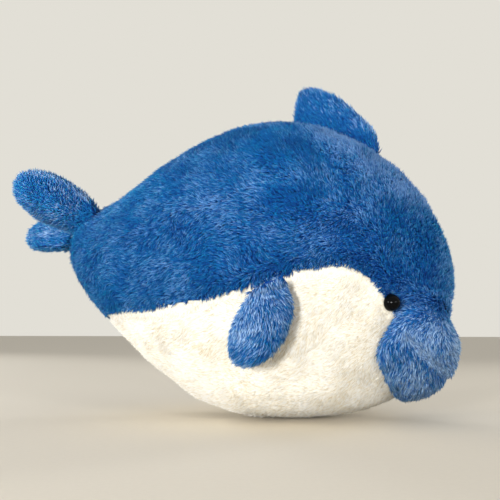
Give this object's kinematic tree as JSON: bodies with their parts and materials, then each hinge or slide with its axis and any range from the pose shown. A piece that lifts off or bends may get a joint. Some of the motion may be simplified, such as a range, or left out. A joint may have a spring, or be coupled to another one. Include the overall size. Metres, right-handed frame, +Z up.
{
  "type": "plush dolphin",
  "caption": "Stuffed plush dolphin lying on a rounded cream belly, with a blue back, a stubby beak, domed eyes, and a fin, flippers and tail flukes that bend at their seams.",
  "frame": {"origin": "on the floor under the middle of the toy's outline, seen from above", "axes": "+X forward to the beak, +Y to the toy's left, +Z up from the belly it rests on"},
  "size_m": [0.3618, 0.23, 0.2586],
  "materials": {
    "blue_plush": "long soft pile, mid blue, no shine",
    "limb_plush": "long soft pile, slightly paler blue, no shine",
    "cream_plush": "long soft pile, warm white, no shine",
    "fibre_fill": "loose white polyester fibre",
    "eye_plastic": "moulded black, high gloss",
    "washer_plastic": "moulded, natural"
  },
  "bodies": {
    "body": {"back_panel_right": "blue_plush", "back_panel_left": "blue_plush", "belly_panel": "cream_plush", "body_stuffing": "fibre_fill", "upper_beak_cover": "limb_plush", "lower_beak_cover": "limb_plush", "beak_stuffing": "fibre_fill", "right_eye": "eye_plastic", "right_eye_washer": "washer_plastic", "left_eye": "eye_plastic", "left_eye_washer": "washer_plastic"},
    "dorsal_fin": {"dorsal_fin_left_cover": "limb_plush", "dorsal_fin_right_cover": "limb_plush", "dorsal_fin_stuffing": "fibre_fill"},
    "right_flipper": {"right_flipper_outer_cover": "limb_plush", "right_flipper_inner_cover": "limb_plush", "right_flipper_stuffing": "fibre_fill"},
    "left_flipper": {"left_flipper_inner_cover": "limb_plush", "left_flipper_outer_cover": "limb_plush", "left_flipper_stuffing": "fibre_fill"},
    "right_fluke": {"right_fluke_top_cover": "limb_plush", "right_fluke_under_cover": "limb_plush", "right_fluke_stuffing": "fibre_fill"},
    "left_fluke": {"left_fluke_under_cover": "limb_plush", "left_fluke_top_cover": "limb_plush", "left_fluke_stuffing": "fibre_fill"}
  },
  "joints": [
    {"name": "dorsal_fin_sway", "type": "hinge", "parent": "body", "child": "dorsal_fin", "pos_m": [0.09681, 0, 0.21641], "axis": [0.9013, 0, -0.4332], "range_deg": [-30, 30], "stiffness_Nm_per_rad": 0.03},
    {"name": "right_flipper_lift", "type": "hinge", "parent": "body", "child": "right_flipper", "pos_m": [0.05271, -0.10576, 0.10073], "axis": [-0.9468, -0.0563, -0.3168], "range_deg": [0, 70], "stiffness_Nm_per_rad": 0.03},
    {"name": "left_flipper_lift", "type": "hinge", "parent": "body", "child": "left_flipper", "pos_m": [0.05271, 0.10576, 0.10073], "axis": [0.9468, -0.0563, 0.3168], "range_deg": [0, 70], "stiffness_Nm_per_rad": 0.03},
    {"name": "right_fluke_flap", "type": "hinge", "parent": "body", "child": "right_fluke", "pos_m": [-0.11449, -0.0145, 0.15687], "axis": [-0.6459, 0.6087, -0.4607], "range_deg": [-30, 30], "stiffness_Nm_per_rad": 0.04},
    {"name": "left_fluke_flap", "type": "hinge", "parent": "body", "child": "left_fluke", "pos_m": [-0.11711, 0.0145, 0.15038], "axis": [0.2089, 0.9779, 0.0096], "range_deg": [-30, 30], "stiffness_Nm_per_rad": 0.04}
  ]
}
